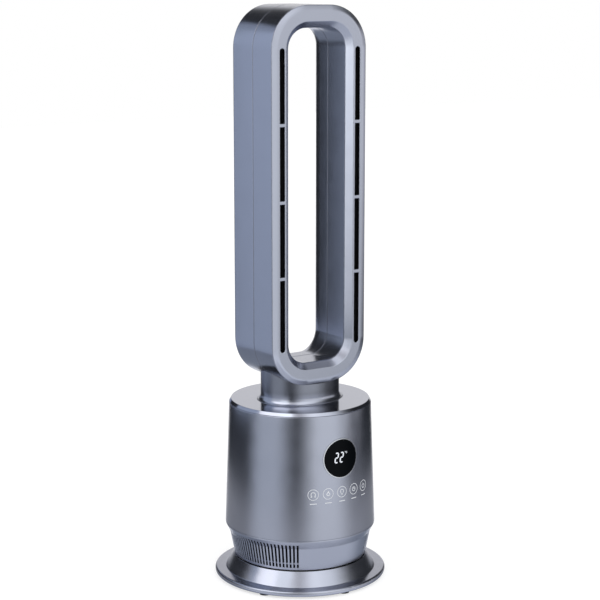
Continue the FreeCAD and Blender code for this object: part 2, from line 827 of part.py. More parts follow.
def make_impeller():
    """Centrifugal wheel: hub on a back plate, swept-back blades and a front ring round the eye."""
    body = turned("impeller", [
        ("shaft_radius", "impeller_top - impeller_height / 2"),
        ("impeller_hub_radius", "impeller_top - impeller_height / 2"),
        ("2 * impeller_hub_radius", "impeller_top - impeller_plate"),
        ("impeller_radius", "impeller_top - impeller_plate"),
        ("impeller_radius", "impeller_top"),
        ("shaft_radius", "impeller_top"),
    ])
    add_turned(body, box_corners("impeller_eye_radius", "impeller_radius", "impeller_bottom",
                                  "impeller_bottom + impeller_plate"))
    blade = new_sketch(body, "XY_Plane", "impeller_bottom")
    tip = "(impeller_radius - impeller_plate)"
    root_turn = "blade_thickness / blade_root_radius * 180 / pi"
    tip_turn = "blade_sweep + blade_thickness / impeller_radius * 180 / pi"
    draw(blade, [
        ("blade_root_radius", "0"),
        ("%s * cos(blade_sweep)" % tip, "-%s * sin(blade_sweep)" % tip),
        ("%s * cos(%s)" % (tip, tip_turn), "-%s * sin(%s)" % (tip, tip_turn)),
        ("blade_root_radius * cos(%s)" % root_turn, "-blade_root_radius * sin(%s)" % root_turn),
    ], {0: ("blade_bow_radius", 1), 2: ("blade_bow_radius", -1)})
    around(body, [feature(body, "Pad", blade, "impeller_height - impeller_plate / 2")], "blade_count")
    return keep(body)


def make_motor_shaft():
    low = "impeller_top - impeller_height / 2"
    top = "motor_bottom + motor_height + shaft_stub"
    return keep(turned("motor_shaft", box_corners("0", "shaft_radius", low, top)))


def make_diffuser():
    """Cup that holds the motor, with straightening vanes out to a ring that seats in the duct."""
    body = turned("diffuser", [
        ("2 * shaft_radius", "cup_bottom"),
        ("cup_radius", "cup_bottom"),
        ("cup_radius", "cup_bottom + cup_height"),
        ("cup_inner_radius", "cup_bottom + cup_height"),
        ("cup_inner_radius", "cup_floor_top"),
        ("2 * shaft_radius", "cup_floor_top"),
    ])
    top = "cup_bottom + cup_height"
    add_turned(body, box_corners("vane_reach - cup_wall", "vane_reach", "cup_bottom", top))
    vane = new_sketch(body, "XY_Plane", "cup_bottom")
    draw(vane, box_corners("cup_radius - cup_wall / 2", "vane_reach - cup_wall / 2",
                           "-vane_thickness / 2", "vane_thickness / 2"))
    around(body, [feature(body, "Pad", vane, "cup_height")], "vane_count")
    return keep(body)


def make_motor_cushion():
    inner = "motor_radius + running_fit"
    return keep(turned("motor_cushion", [
        ("motor_radius / 2", "cup_floor_top"),
        ("cup_inner_radius - running_fit", "cup_floor_top"),
        ("cup_inner_radius - running_fit", "motor_bottom + motor_height / 2"),
        (inner, "motor_bottom + motor_height / 2"),
        (inner, "motor_bottom"),
        ("motor_radius / 2", "motor_bottom"),
    ]))


def make_fan_motor():
    bore = "shaft_radius + running_fit"
    return keep(turned("fan_motor", [
        (bore, "motor_bottom"),
        ("motor_radius", "motor_bottom"),
        ("motor_radius", "motor_bottom + motor_height"),
        ("2 * shaft_radius", "motor_bottom + motor_height"),
        ("2 * shaft_radius", "motor_bottom + motor_height + shaft_stub / 2"),
        (bore, "motor_bottom + motor_height + shaft_stub / 2"),
    ]))


# Display, touch strip and control board


def body_cone(name, inset):
    """A solid cone that follows the barrel's outside, smaller by inset."""
    return primitive("Cone", name, {"z": "barrel_bottom"}, Radius1="barrel_foot_radius - (%s)" % inset,
                     Radius2="barrel_top_radius - (%s)" % inset, Height="barrel_height")


def front_rod(name, radius, start="0"):
    """A rod along -Y through the middle of the display."""
    rod = doc.addObject("Part::Cylinder", name)
    rod.Placement.Rotation = FreeCAD.Rotation(FreeCAD.Vector(1, 0, 0), 90)
    rod.setExpression("Radius", bound(radius))
    rod.setExpression("Height", bound("front_reach - (%s)" % start))
    rod.setExpression("Placement.Base.y", bound("-(%s)" % start))
    rod.setExpression("Placement.Base.z", bound("display_height"))
    doc.recompute()
    return rod


def make_display_lens():
    """Round window that follows the barrel's curve, flush in its hole."""
    shell = joined("Cut", "lens_shell", body_cone("lens_face", "0"), body_cone("lens_back", "lens_thickness"))
    return keep(joined("Common", "display_lens", shell, front_rod("lens_rod", "display_radius")))


def make_display_rim():
    shell = joined("Cut", "rim_shell", body_cone("rim_face", "-display_rim_stand"),
                   body_cone("rim_back", "lens_thickness"))
    tube = joined("Cut", "rim_tube", front_rod("rim_rod", "display_radius + display_rim_width"),
                  front_rod("rim_bore", "display_radius + running_fit"))
    return keep(joined("Common", "display_rim", shell, tube))


def make_display_housing():
    """Light box behind the window, from the board to the inside of the barrel."""
    back = "display_board_back + board_thickness"
    rod = front_rod("housing_rod", "display_hole_radius + display_shell_wall", back)
    tube = joined("Cut", "housing_tube", rod, front_rod("housing_bore", "display_hole_radius", back))
    limit = body_cone("housing_limit", "barrel_wall + seat_fit")
    return keep(joined("Common", "display_housing", tube, limit))


def make_display_board():
    body = new_body("display_board")
    sketch = new_sketch(body, "XZ_Plane", "display_board_back")
    draw(sketch, box_corners("-display_board_width / 2", "display_board_width / 2",
                             "display_height - display_board_height / 2",
                             "display_height + display_board_height / 2"))
    feature(body, "Pad", sketch, "board_thickness")
    module = new_sketch(body, "XZ_Plane", "display_board_back + board_thickness")
    draw(module, box_corners("-led_width / 2", "led_width / 2",
                             "display_height - led_height / 2", "display_height + led_height / 2"))
    feature(body, "Pad", module, "led_depth")
    return keep(body)


def make_touch_board():
    """Flexible strip behind the five touch keys, lying against the inside of the barrel."""
    outer = body_cone("touch_face", "barrel_wall + seat_fit")
    inner = body_cone("touch_back", "barrel_wall + seat_fit + touch_thickness")
    strip = joined("Cut", "touch_shell", outer, inner)
    window = primitive("Box", "touch_window",
                       {"x": "-touch_width / 2", "y": "-front_reach", "z": "touch_bottom"},
                       Length="touch_width", Width="front_reach", Height="touch_height")
    return keep(joined("Common", "touch_board", strip, window))


def make_control_board():
    """Upright board against the rear of the duct, with its relay block on the outer face."""
    body = new_body("control_board")
    sketch = new_sketch(body, "XZ_Plane", "-control_board_front")
    draw(sketch, box_corners("-control_board_width / 2", "control_board_width / 2",
                             "control_board_bottom", "control_board_bottom + control_board_height"))
    feature(body, "Pad", sketch, "board_thickness", True)
    relay = new_sketch(body, "XZ_Plane", "-control_board_front - board_thickness")
    middle = "control_board_bottom + control_board_height / 2"
    draw(relay, box_corners("-relay_width / 2", "relay_width / 2",
                            "%s - relay_height / 2" % middle, "%s + relay_height / 2" % middle))
    feature(body, "Pad", relay, "relay_depth", True)
    return keep(body)


# Neck and air loop


def ellipse_at(name, half_width, half_depth, height):
    return primitive("Ellipse", name, {"z": height}, MajorRadius=half_width, MinorRadius=half_depth)


def lofted(name, sections, ruled):
    item = doc.addObject("Part::Loft", name)
    item.Sections = sections
    item.Solid = True
    item.Ruled = ruled
    doc.recompute()
    return item


def loop_path(body, clearance="0"):
    """The loop's outer outline: a tall rectangle with round corners, from the middle of its foot."""
    sketch = new_sketch(body, "XZ_Plane")
    side = "(loop_half_width + %s)" % clearance
    foot = "(loop_bottom - %s)" % clearance
    head = "(loop_top + %s)" % clearance
    bend = "(loop_corner + %s)" % clearance
    draw(sketch, [
        ("0", foot),
        ("%s - %s" % (side, bend), foot),
        (side, "%s + %s" % (foot, bend)),
        (side, "%s - %s" % (head, bend)),
        ("%s - %s" % (side, bend), head),
        ("%s - %s" % (bend, side), head),
        ("-" + side, "%s - %s" % (head, bend)),
        ("-" + side, "%s + %s" % (foot, bend)),
        ("%s - %s" % (bend, side), foot),
    ], {1: (bend, -1), 3: (bend, -1), 5: (bend, -1), 7: (bend, -1)})
    return sketch


def swept_round_loop(label, corners, arcs=None):
    """Carries a cross-section round the loop. A corner is a depth along Y and a distance inwards."""
    body = new_body(label)
    path = loop_path(body)
    section = new_sketch(body, "YZ_Plane")
    draw(section, [(depth, "loop_bottom + %s" % inwards) for depth, inwards in corners], arcs)
    doc.recompute()
    sweep = body.newObject("PartDesign::AdditivePipe", label + "_sweep")
    sweep.Profile = section
    sweep.Spine = (path, [])
    doc.recompute()
    return body


def air_passage(name):
    """The opening in the foot of the loop, where the neck feeds it."""
    oval = ("passage_half_width", "passage_half_depth")
    low = ellipse_at(name + "_low", *oval, "loop_bottom - neck_wall")
    high = ellipse_at(name + "_high", *oval, "loop_bottom + passage_rise")
    return lofted(name, [low, high], True)


def make_neck_collar():
    """Oval duct with a concave flare at its foot, cut to the underside of the loop."""
    sections = []
    steps = 5
    for step in range(steps + 1):
        rise = "(%d / %d)" % (step, steps)
        spread = " + neck_flare * (1 - sqrt(1 - (1 - %s) ^ 2))" % rise
        height = "cap_top + neck_flare_height * " + rise
        oval = ("neck_half_width" + spread, "neck_half_depth" + spread)
        sections.append(ellipse_at("flare_%d" % step, *oval, height))
    flare = lofted("neck_flare_loft", sections, False)
    top = "loop_bottom + loop_corner / 2"
    low = ellipse_at("neck_low", "neck_half_width", "neck_half_depth", "cap_top + neck_flare_height")
    high = ellipse_at("neck_high", "neck_half_width", "neck_half_depth", top)
    outside = joined("Fuse", "neck_outside", flare, lofted("neck_upper", [low, high], True))
    inner_low = ellipse_at("bore_low", "neck_half_width - neck_wall", "neck_half_depth - neck_wall",
                           "cap_top - neck_wall")
    inner_high = ellipse_at("bore_high", "neck_half_width - neck_wall", "neck_half_depth - neck_wall",
                            top + " + neck_wall")
    tube = joined("Cut", "neck_tube", outside, lofted("neck_bore", [inner_low, inner_high], True))
    trim = new_body("neck_trim")
    outline = loop_path(trim, "seat_fit")
    outline.setExpression("AttachmentOffset.Base.z", bound("-2 * neck_half_depth"))
    feature(trim, "Pad", outline, "4 * neck_half_depth")
    return keep(joined("Cut", "neck_collar", tube, trim))


def make_loop_rear_shell():
    """Rear half of the loop: straight outside, inner wall flaring out to a narrow rear rim."""
    body = swept_round_loop("rear_sweep", [
        ("seam_groove", "0"),
        ("loop_rear_depth - loop_rear_round", "0"),
        ("loop_rear_depth", "loop_rear_round"),
        ("loop_rear_depth", "loop_rear_rim"),
        ("flare_start", "loop_band"),
        ("seam_groove", "loop_band"),
        ("0", "loop_band - seam_groove"),
        ("0", "loop_band - loop_wall"),
        ("flare_start", "loop_band - loop_wall"),
        ("flare_hollow_end", "loop_wall"),
        ("0", "loop_wall"),
        ("0", "seam_groove"),
    ], {1: ("loop_rear_round", -1), 3: ("flare_radius", -1), 8: ("flare_hollow_radius", 1)})
    return keep(joined("Cut", "loop_rear_shell", body, air_passage("rear_passage")))


def make_loop_front_shell():
    """Front half of the loop, with a web across the channel and two long windows behind the outlets."""
    body = swept_round_loop("front_sweep", [
        ("-seam_groove", "0"),
        ("-shell_front_depth", "0"),
        ("-shell_front_depth", "loop_wall"),
        ("-web_depth", "loop_wall"),
        ("-web_depth", "loop_band - loop_wall"),
        ("-shell_lip_end", "loop_band - loop_wall"),
        ("-shell_lip_end", "loop_band"),
        ("-seam_groove", "loop_band"),
        ("0", "loop_band - seam_groove"),
        ("0", "loop_band - loop_wall"),
        ("web_thickness - web_depth", "loop_band - loop_wall"),
        ("web_thickness - web_depth", "loop_wall"),
        ("0", "loop_wall"),
        ("0", "seam_groove"),
    ])
    window = new_sketch(body, "XZ_Plane", "web_depth - 2 * web_thickness")
    for side in ("-", ""):
        middle = side + "outlet_across"
        draw(window, box_corners("%s - window_width / 2" % middle, "%s + window_width / 2" % middle,
                                 "outlet_bottom", "outlet_top"))
    feature(body, "Pocket", window, "2 * web_thickness", True)
    return keep(joined("Cut", "loop_front_shell", body, air_passage("front_passage")))


def make_front_bezel():
    """Face of the loop: outer slope, flat band with the outlets, and a bevel into the opening."""
    body = swept_round_loop("front_bezel", [
        ("-bezel_edge", "seat_fit"),
        ("bezel_slope_depth - bezel_front", "seat_fit"),
        ("-bezel_front", "bezel_slope_width"),
        ("-bezel_front", "loop_band - bezel_bevel_width"),
        ("-bezel_lip_end", "loop_band"),
        ("-bezel_lip_end", "loop_band - bezel_lip_wall"),
        ("-bezel_back", "loop_band - bezel_bevel_width - bezel_wall / 4"),
        ("-bezel_back", "bezel_slope_width"),
        ("-bezel_edge", "bezel_slope_width / 2"),
    ])
    slot = new_sketch(body, "XZ_Plane", "bezel_back - bezel_wall")
    ends = new_sketch(body, "XZ_Plane", "bezel_back - bezel_wall")
    bar = new_sketch(body, "XZ_Plane", "bezel_back")
    half = "outlet_width / 2"
    for side in ("-", ""):
        middle = side + "outlet_across"
        left = "%s - %s" % (middle, half)
        right = "%s + %s" % (middle, half)
        draw(slot, box_corners(left, right, "outlet_bottom + " + half, "outlet_top - " + half))
        draw_circle(ends, middle, "outlet_bottom + " + half, half)
        draw_circle(ends, middle, "outlet_top - " + half, half)
        for number in (1, 2, 3):
            low = "outlet_bottom + %d * outlet_length + %d * outlet_bar" % (number, number - 1)
            draw(bar, box_corners(left + " - seat_fit", right + " + seat_fit", low, low + " + outlet_bar"))
    feature(body, "Pocket", slot, "3 * bezel_wall", True)
    feature(body, "Pocket", ends, "3 * bezel_wall", True)
    feature(body, "Pad", bar, "bezel_wall")
    return keep(body)


def make_heater(label, side):
    """Heater strip: a ceramic core with thin fins across it, on the web behind one column of outlets."""
    body = new_body(label)
    middle = side + "outlet_across"
    left = "%s - heater_width / 2" % middle
    right = "%s + heater_width / 2" % middle
    core = new_sketch(body, "XY_Plane", "heater_bottom")
    front = "-heater_front + heater_depth / 2 - heater_core / 2"
    draw(core, box_corners(left, right, front, front + " + heater_core"))
    feature(body, "Pad", core, "heater_length")
    fin = new_sketch(body, "XY_Plane", "heater_bottom")
    draw(fin, box_corners(left, right, "-heater_front", "-heater_front + heater_depth"))
    plate = feature(body, "Pad", fin, "fin_thickness")
    row = body.newObject("PartDesign::LinearPattern", label + "_fins")
    row.Originals = [plate]
    row.Direction = (origin_item(body, "Z_Axis"), [""])
    row.setExpression("Length", bound("heater_length - fin_thickness"))
    row.setExpression("Occurrences", bound("floor(heater_length / fin_pitch) + 1"))
    body.Tip = row
    doc.recompute()
    return keep(body)


def make_thermal_cutouts():
    """One over-temperature cut-out on the back of each heater."""
    body = new_body("thermal_cutouts")
    sketch = new_sketch(body, "XZ_Plane", "heater_front - heater_depth")
    for side in ("-", ""):
        draw_circle(sketch, side + "outlet_across", "heater_middle", "cutout_radius")
    feature(body, "Pad", sketch, "cutout_height", True)
    return keep(body)


def write_parts():
    doc.recompute()
    for item in doc.Objects:
        if "Invalid" in item.State or "Error" in item.State:
            raise RuntimeError("%s did not compute" % item.Label)
    for piece in pieces:
        if piece.Shape.isNull() or not piece.Shape.isValid():
            raise RuntimeError("%s has no valid shape" % piece.Label)
    os.makedirs("parts", exist_ok=True)
    for piece in pieces:
        piece.Shape.exportStep("parts/%s.step" % piece.Label)
    print("%d pieces written" % len(pieces))


fill_sheet()
make_base_cover()
make_base_plate()
make_ballast_ring()
make_rubber_feet()
make_base_screws()
make_cord_gland()
make_pivot_post()
make_retaining_washer()
make_swivel_bearing()
make_fixed_gear()
make_oscillation_pinion()
make_turntable()
make_swivel_bush()
make_stepper_motor()
make_stepper_screws()
make_turntable_screws()
make_tilt_switch()
make_intake_grille()
make_barrel()
make_top_cap()
make_fan_duct()
make_duct_seal()
make_impeller()
make_motor_shaft()
make_diffuser()
make_motor_cushion()
make_fan_motor()
make_display_lens()
make_display_rim()
make_display_housing()
make_display_board()
make_touch_board()
make_control_board()
make_neck_collar()
make_loop_rear_shell()
make_loop_front_shell()
make_front_bezel()
make_heater("heater_left", "-")
make_heater("heater_right", "")
make_thermal_cutouts()
write_parts()
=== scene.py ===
import json
import math
import bmesh
import bpy
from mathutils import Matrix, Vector


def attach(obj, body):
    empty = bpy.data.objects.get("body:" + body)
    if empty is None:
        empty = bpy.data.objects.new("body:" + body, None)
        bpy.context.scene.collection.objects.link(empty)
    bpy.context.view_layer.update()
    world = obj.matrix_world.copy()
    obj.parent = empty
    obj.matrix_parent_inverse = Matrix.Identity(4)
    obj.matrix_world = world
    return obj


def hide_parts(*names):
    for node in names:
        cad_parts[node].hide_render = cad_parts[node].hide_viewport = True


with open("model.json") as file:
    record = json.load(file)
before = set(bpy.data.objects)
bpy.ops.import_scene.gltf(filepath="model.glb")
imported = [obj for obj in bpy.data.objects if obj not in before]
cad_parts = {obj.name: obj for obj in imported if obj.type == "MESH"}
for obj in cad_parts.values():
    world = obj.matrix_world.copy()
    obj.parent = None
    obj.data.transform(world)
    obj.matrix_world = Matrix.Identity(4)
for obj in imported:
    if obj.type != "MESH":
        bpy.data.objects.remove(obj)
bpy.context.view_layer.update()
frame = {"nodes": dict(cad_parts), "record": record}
nodes = frame["nodes"]
bodies = frame["record"]["behaviour"]["bodies"]
bodyOf = {node: body for body, members in bodies.items() for node in members}
print("frame loaded:", len(nodes), "nodes")

mm = 0.001

# camera fitted to the photograph: 33.68 degrees to the heater's right of its front
shot = {"place": (-1.3532, -2.0305, 0.8708), "pitch": 10.77, "turn": 33.68,
        "lens": 103.66, "sensor": 36.0, "reach": 50.0}


def setCamera(spec):
    data = bpy.data.cameras.new("photoCamera")
    data.sensor_width = spec["sensor"]
    data.lens = spec["lens"]
    data.clip_end = spec["reach"]
    camera = bpy.data.objects.new("photoCamera", data)
    camera.location = spec["place"]
    camera.rotation_euler = (math.radians(90 - spec["pitch"]), 0, math.radians(-spec["turn"]))
    bpy.context.scene.collection.objects.link(camera)
    bpy.context.scene.camera = camera


setCamera(shot)
bpy.context.scene.view_settings.view_transform = "Standard"
print("camera set")


def fill(tree, socket, value):
    # another node's socket is linked, anything else is a plain value
    if isinstance(value, bpy.types.NodeSocket):
        tree.links.new(value, socket)
    else:
        socket.default_value = value


def addNode(tree, kind, inputs=None, **settings):
    node = tree.nodes.new(kind)
    for key, value in settings.items():
        setattr(node, key, value)
    for key, value in (inputs or {}).items():
        fill(tree, node.inputs[key], value)
    return node


def mathNode(tree, operation, first, second=0.0, clamp=False):
    node = addNode(tree, "ShaderNodeMath", {0: first, 1: second}, operation=operation, use_clamp=clamp)
    return node.outputs[0]


def mapRange(tree, value, given, wanted=(0.0, 1.0), smooth=False):
    ends = {"Value": value, "From Min": given[0], "From Max": given[1],
            "To Min": wanted[0], "To Max": wanted[1]}
    shape = "SMOOTHSTEP" if smooth else "LINEAR"
    return addNode(tree, "ShaderNodeMapRange", ends, interpolation_type=shape).outputs[0]


def objectCoords(tree):
    return addNode(tree, "ShaderNodeTexCoord").outputs["Object"]


def splitAxes(tree, vector):
    return addNode(tree, "ShaderNodeSeparateXYZ", {0: vector}).outputs


def noiseFac(tree, coords, scale, detail=2.0, rough=0.5):
    inputs = {"Vector": coords, "Scale": scale, "Detail": detail, "Roughness": rough}
    return addNode(tree, "ShaderNodeTexNoise", inputs).outputs["Fac"]


noiseEnds = (0.3, 0.7)  # nearly all of a noise lies between these


def spread(tree, fac, low, high):
    return mapRange(tree, fac, noiseEnds, (low, high))


def mixColour(tree, fac, first, second):
    # inputs 6 and 7 are the colours of a Mix node, output 2 is the mixed colour
    return addNode(tree, "ShaderNodeMix", {0: fac, 6: first, 7: second}, data_type="RGBA").outputs[2]


def rgba(tone, gain=1.0):
    return tuple(min(1.0, part * gain) for part in tone) + (1.0,)


def newMaterial(name):
    material = bpy.data.materials.new(name)
    material.use_nodes = True
    return material, material.node_tree, material.node_tree.nodes["Principled BSDF"]


# blue-grey metallic paint, the finish of every outer moulding
paintSpec = {"tone": (0.462, 0.478, 0.548), "toneSwing": 0.2, "flakeScale": 1800.0, "flakeGain": 0.05,
             "cloudScale": 9.0, "cloudGain": 0.012, "rough": 0.22, "roughSwing": 0.07, "roughScale": 35.0,
             "peelScale": 260.0, "peelStrength": 0.018, "peelDepth": 0.4 * mm,
             "edge": 0.7 * mm, "edgeSamples": 6}
# inside of the loop's channel: dark plastic, darkened further to near black as painted shade behind the
# outlets; and the seam round the loop, with a painted shadow line
channelSpec = {"halfWidth": 78.6 * mm, "low": 293.5 * mm, "high": 826.0 * mm, "corner": 60.0 * mm,
               "skin": 1.3 * mm, "band": 31.2 * mm, "rear": 18.5 * mm,
               "tone": (0.006, 0.006, 0.007), "rough": 0.7,
               "seam": 0.6 * mm, "seamShadeTone": (0.13, 0.135, 0.16)}
# painted shade: the neck's paint is darker towards its top, where the loop hangs over it
neckShade = {"low": 270 * mm, "high": 280 * mm, "gain": 0.56}
discRough = 0.14  # the flat disc is glossier than the rest
bezelEdge = 1.6 * mm  # the edges of the loop's face are rounder than the rest


def channelMask(tree, axes, spec):
    # 1 between the skins of the channel, from the distance to its rounded outline
    midHeight = (spec["low"] + spec["high"]) / 2
    half = (spec["high"] - spec["low"]) / 2
    fromMiddle = mathNode(tree, "ABSOLUTE", mathNode(tree, "SUBTRACT", axes[2], midHeight))
    fromSide = mathNode(tree, "ABSOLUTE", axes[0])
    across = mathNode(tree, "SUBTRACT", fromSide, spec["halfWidth"] - spec["corner"])
    up = mathNode(tree, "SUBTRACT", fromMiddle, half - spec["corner"])
    outAcross = mathNode(tree, "MAXIMUM", across, 0.0)
    outUp = mathNode(tree, "MAXIMUM", up, 0.0)
    bend = mathNode(tree, "SQRT", mathNode(tree, "ADD", mathNode(tree, "MULTIPLY", outAcross, outAcross),
                                           mathNode(tree, "MULTIPLY", outUp, outUp)))
    inside = mathNode(tree, "MINIMUM", mathNode(tree, "MAXIMUM", across, up), 0.0)
    depth = mathNode(tree, "SUBTRACT", spec["corner"], mathNode(tree, "ADD", bend, inside))
    pastSkin = mathNode(tree, "GREATER_THAN", depth, spec["skin"])
    beforeInner = mathNode(tree, "LESS_THAN", depth, spec["band"] - spec["skin"])
    beforeFlare = mathNode(tree, "LESS_THAN", axes[1], spec["rear"])  # the flare behind it is painted
    return mathNode(tree, "MULTIPLY", mathNode(tree, "MULTIPLY", pastSkin, beforeInner), beforeFlare)


def makePaint(name, spec, rough=None, channel=None, shade=None):
    material, tree, shader = newMaterial(name)
    coords = objectCoords(tree)
    flakes = noiseFac(tree, coords, spec["flakeScale"], 1.0)
    cloud = noiseFac(tree, coords, spec["cloudScale"])
    lift = mathNode(tree, "ADD", spread(tree, flakes, -spec["flakeGain"], spec["flakeGain"]),
                    spread(tree, cloud, -spec["cloudGain"], spec["cloudGain"]))
    fac = mathNode(tree, "ADD", 0.5, lift, True)
    swing = spec["toneSwing"]
    tone = mixColour(tree, fac, rgba(spec["tone"], 1 - swing), rgba(spec["tone"], 1 + swing))
    base = spec["rough"] if rough is None else rough
    blotch = noiseFac(tree, coords, spec["roughScale"], 3.0)
    roughness = spread(tree, blotch, base * (1 - spec["roughSwing"]), base * (1 + spec["roughSwing"]))
    metal = 1.0
    if shade:
        # painted shade: the tone darkens with height between the two given heights
        fade = mapRange(tree, splitAxes(tree, coords)[2], (shade["low"], shade["high"]))
        tone = mixColour(tree, fade, tone, rgba(spec["tone"], shade["gain"]))
    if channel:
        axes = splitAxes(tree, coords)
        # painted shadow: a thin dark line in the seam groove round the loop
        seam = mathNode(tree, "LESS_THAN", mathNode(tree, "ABSOLUTE", axes[1]), channel["seam"])
        # painted shade: the channel's inside behind the outlets turns near black, matt and not metal
        mask = channelMask(tree, axes, channel)
        tone = mixColour(tree, seam, tone, rgba(channel["seamShadeTone"]))
        tone = mixColour(tree, mask, tone, rgba(channel["tone"]))
        roughness = mathNode(tree, "MAXIMUM", roughness, mathNode(tree, "MULTIPLY", mask, channel["rough"]))
        metal = mathNode(tree, "SUBTRACT", 1.0, mask)
    edge = addNode(tree, "ShaderNodeBevel", {"Radius": spec["edge"]}, samples=spec["edgeSamples"])
    peel = addNode(tree, "ShaderNodeBump", {"Strength": spec["peelStrength"], "Distance": spec["peelDepth"],
                                            "Height": noiseFac(tree, coords, spec["peelScale"], 1.0),
                                            "Normal": edge.outputs[0]})
    fill(tree, shader.inputs["Base Color"], tone)
    fill(tree, shader.inputs["Roughness"], roughness)
    fill(tree, shader.inputs["Metallic"], metal)
    fill(tree, shader.inputs["Normal"], peel.outputs[0])
    return material


# moulded, cast or machined surfaces: fine grain in the normal, slow change in tone and gloss
plainSpec = {"cloudScale": 40.0, "cloudDetail": 4.0, "cloudRough": 0.6,
             "glossScale": 120.0, "glossSwing": 0.1, "grainDetail": 3.0, "grainDepth": 0.2 * mm}


def makePlain(name, tone, rough, metal=0.0, grainScale=900.0, grainStrength=0.06, vary=0.12, gloss=0.5):
    spec = plainSpec
    material, tree, shader = newMaterial(name)
    coords = objectCoords(tree)
    cloud = noiseFac(tree, coords, spec["cloudScale"], spec["cloudDetail"], spec["cloudRough"])
    shine = noiseFac(tree, coords, spec["glossScale"])
    swing = spec["glossSwing"]
    grain = addNode(tree, "ShaderNodeBump", {
        "Strength": grainStrength, "Distance": spec["grainDepth"],
        "Height": noiseFac(tree, coords, grainScale, spec["grainDetail"])})
    fill(tree, shader.inputs["Base Color"],
         mixColour(tree, cloud, rgba(tone, 1 - vary), rgba(tone, 1 + vary)))
    fill(tree, shader.inputs["Roughness"],
         spread(tree, shine, rough * (1 - swing), min(1.0, rough * (1 + swing))))
    fill(tree, shader.inputs["Metallic"], metal)
    fill(tree, shader.inputs["Specular IOR Level"], gloss)
    fill(tree, shader.inputs["Normal"], grain.outputs[0])
    return material


# lathe marks: fine rings about the swivel axis
turnedSpec = {"waver": 0.4, "detail": 2.0, "dark": 0.88, "pale": 1.1, "roughSwing": 0.15,
              "markStrength": 0.05, "markDepth": 0.1 * mm}


def makeTurned(name, tone, rough, ringScale):
    spec = turnedSpec
    material, tree, shader = newMaterial(name)
    rings = addNode(tree, "ShaderNodeTexWave",
                    {"Vector": objectCoords(tree), "Scale": ringScale, "Distortion": spec["waver"],
                     "Detail": spec["detail"]}, wave_type="RINGS", rings_direction="Z").outputs["Fac"]
    marks = addNode(tree, "ShaderNodeBump", {"Strength": spec["markStrength"], "Distance": spec["markDepth"],
                                             "Height": rings})
    fill(tree, shader.inputs["Base Color"],
         mixColour(tree, rings, rgba(tone, spec["dark"]), rgba(tone, spec["pale"])))
    fill(tree, shader.inputs["Roughness"],
         spread(tree, rings, rough * (1 - spec["roughSwing"]), rough * (1 + spec["roughSwing"])))
    fill(tree, shader.inputs["Metallic"], 1.0)
    fill(tree, shader.inputs["Normal"], marks.outputs[0])
    return material


# circuit board: solder mask with paler tracks on a square grid
boardSpec = {"mask": (0.012, 0.09, 0.035), "trace": (0.05, 0.19, 0.07), "paler": 1.25, "cells": 90.0,
             "traceWidth": 0.035, "glossScale": 300.0, "rough": (0.32, 0.5)}


def makeBoard(name, spec):
    material, tree, shader = newMaterial(name)
    coords = objectCoords(tree)
    cells = addNode(tree, "ShaderNodeTexBrick", {
        "Vector": coords, "Color1": rgba(spec["mask"]), "Color2": rgba(spec["mask"], spec["paler"]),
        "Mortar": rgba(spec["trace"]), "Scale": spec["cells"], "Mortar Size": spec["traceWidth"]})
    fill(tree, shader.inputs["Base Color"], cells.outputs["Color"])
    shine = noiseFac(tree, coords, spec["glossScale"])
    fill(tree, shader.inputs["Roughness"], spread(tree, shine, *spec["rough"]))
    return material


# lit segments, a little uneven as a diffused lamp is
glowSpec = {"tone": (0.86, 0.90, 1.0), "strength": 1.0, "unevenScale": 180.0, "dim": 0.94, "bright": 1.05,
            "unlit": (0.02, 0.02, 0.02)}


def makeGlow(name, spec):
    material, tree, shader = newMaterial(name)
    uneven = noiseFac(tree, objectCoords(tree), spec["unevenScale"])
    fill(tree, shader.inputs["Emission Color"],
         mixColour(tree, uneven, rgba(spec["tone"], spec["dim"]), rgba(spec["tone"], spec["bright"])))
    fill(tree, shader.inputs["Emission Strength"], spec["strength"])
    fill(tree, shader.inputs["Base Color"], rgba(spec["unlit"]))
    return material


